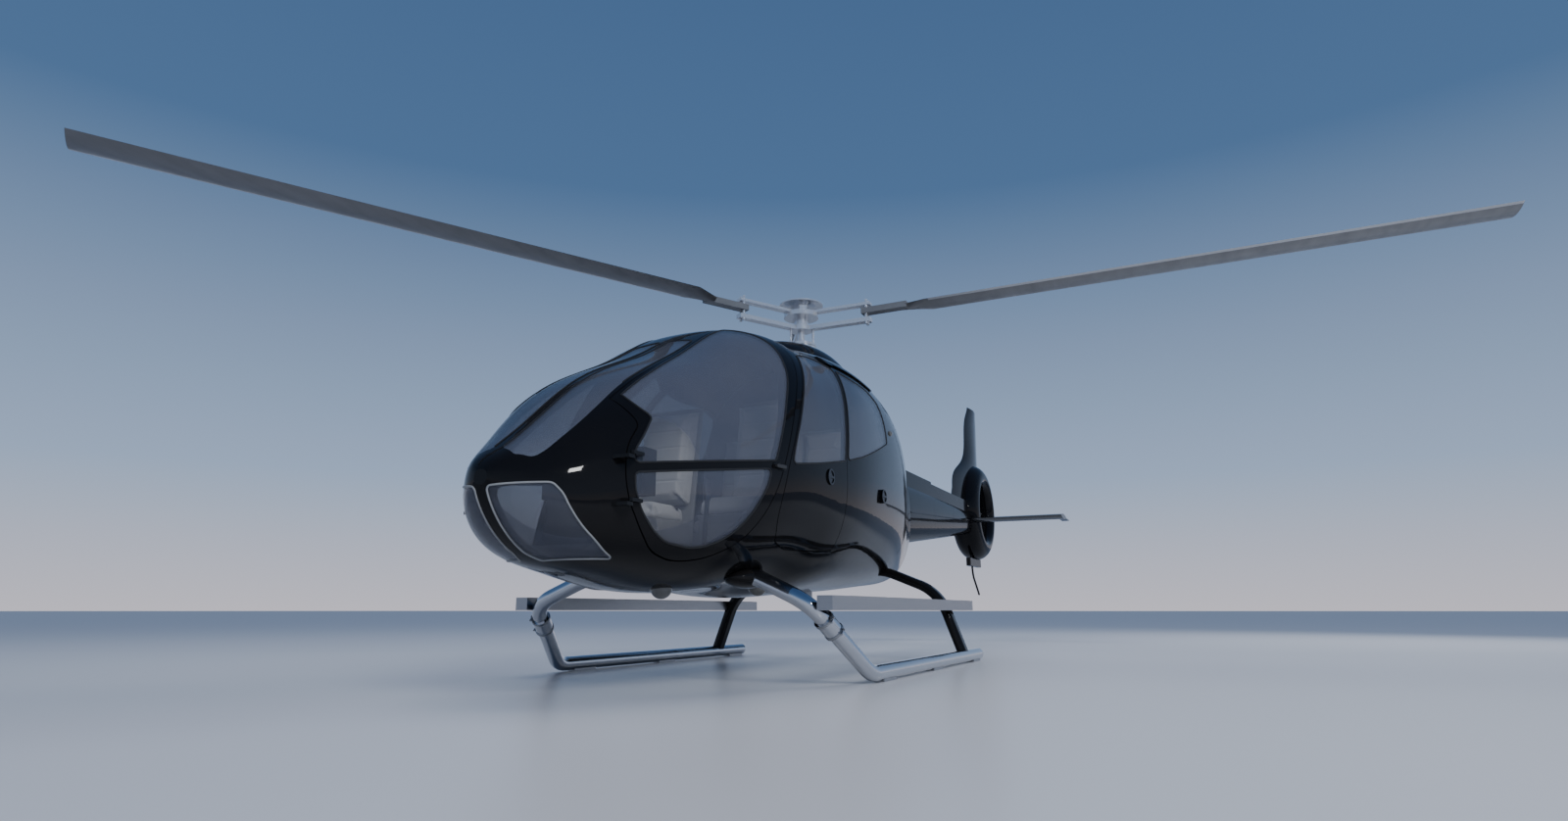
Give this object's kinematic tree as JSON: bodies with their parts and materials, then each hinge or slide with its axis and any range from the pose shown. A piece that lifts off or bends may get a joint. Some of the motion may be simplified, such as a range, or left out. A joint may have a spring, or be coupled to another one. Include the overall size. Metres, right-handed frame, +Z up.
{
  "type": "light helicopter",
  "caption": "Light cabin helicopter with a three-blade main rotor, a shrouded tail fan, hinged front doors and skid landing gear; hollow glazed cabin with seats.",
  "frame": {"origin": "centre of the hard point's face under the belly, on the main rotor mast's axis", "axes": "+X forward to the nose, +Y to port, +Z up along the rotor mast"},
  "size_m": [11.3706, 7.6743, 3.4243],
  "materials": {
    "body_paint": "gloss",
    "tinted_glass": "clear",
    "polished_tube": "polished",
    "step_metal": "satin",
    "blade_paint": "satin",
    "lamp_glass": "clear",
    "hub_metal": "machined",
    "engine_metal": "cast",
    "cabin_lining": "matte",
    "seat_cloth": "woven",
    "panel_plastic": "matte",
    "seal_rubber": "matte"
  },
  "bodies": {
    "airframe": {"belly_hard_point": "step_metal", "cabin_bulkhead": "cabin_lining", "cabin_floor": "engine_metal", "cabin_shell": "body_paint", "chin_windows": "tinted_glass", "clamp_sleeves": "step_metal", "cyclic_sticks": "panel_plastic", "door_hinge_arms": "step_metal", "engine_block": "engine_metal", "engine_cowling": "body_paint", "engine_deck": "engine_metal", "exhaust_pipe": "hub_metal", "fan_stator": "engine_metal", "front_cross_tube": "polished_tube", "front_seats": "seat_cloth", "instrument_panel": "panel_plastic", "intake_louvres": "body_paint", "lamps": "lamp_glass", "leg_fairings": "body_paint", "main_gearbox": "engine_metal", "mast_fairing": "body_paint", "quarter_windows": "tinted_glass", "rear_bench": "seat_cloth", "rear_cross_tube": "body_paint", "rear_fuselage": "body_paint", "rear_sliding_door": "body_paint", "rear_windows": "tinted_glass", "shaft_cover": "body_paint", "side_caps": "step_metal", "skid_left": "polished_tube", "skid_right": "polished_tube", "skid_shoes": "step_metal", "sliding_door_rail": "body_paint", "sliding_door_seal": "seal_rubber", "stabiliser": "body_paint", "steps": "step_metal", "swashplate_fixed": "hub_metal", "tail_boom": "body_paint", "tail_fin_and_shroud": "body_paint", "tail_guard": "step_metal", "windscreen": "tinted_glass"},
    "main_rotor": {"mast": "hub_metal", "rotor_hub": "hub_metal", "hub_cap": "hub_metal", "rotor_blade_1": "blade_paint", "rotor_blade_2": "blade_paint", "rotor_blade_3": "blade_paint", "swashplate_turning": "hub_metal"},
    "tail_fan_rotor": {"tail_fan": "blade_paint"},
    "door_left": {"front_door_left": "body_paint", "door_glass_left": "tinted_glass"},
    "door_right": {"front_door_right": "body_paint", "door_glass_right": "tinted_glass"}
  },
  "joints": [
    {"name": "main_rotor_spin", "type": "hinge", "parent": "airframe", "child": "main_rotor", "pos_m": [0, 0, 2.38], "axis": [0, 0, 1], "continuous": true},
    {"name": "tail_fan_spin", "type": "hinge", "parent": "airframe", "child": "tail_fan_rotor", "pos_m": [-6.25, 0, 1.34], "axis": [0, 1, 0], "continuous": true},
    {"name": "door_left_swing", "type": "hinge", "parent": "airframe", "child": "door_left", "pos_m": [3.15, 0.5, 1], "axis": [0, 0, -1], "range_deg": [0, 70]},
    {"name": "door_right_swing", "type": "hinge", "parent": "airframe", "child": "door_right", "pos_m": [3.15, -0.5, 1], "axis": [0, 0, 1], "range_deg": [0, 70]}
  ]
}
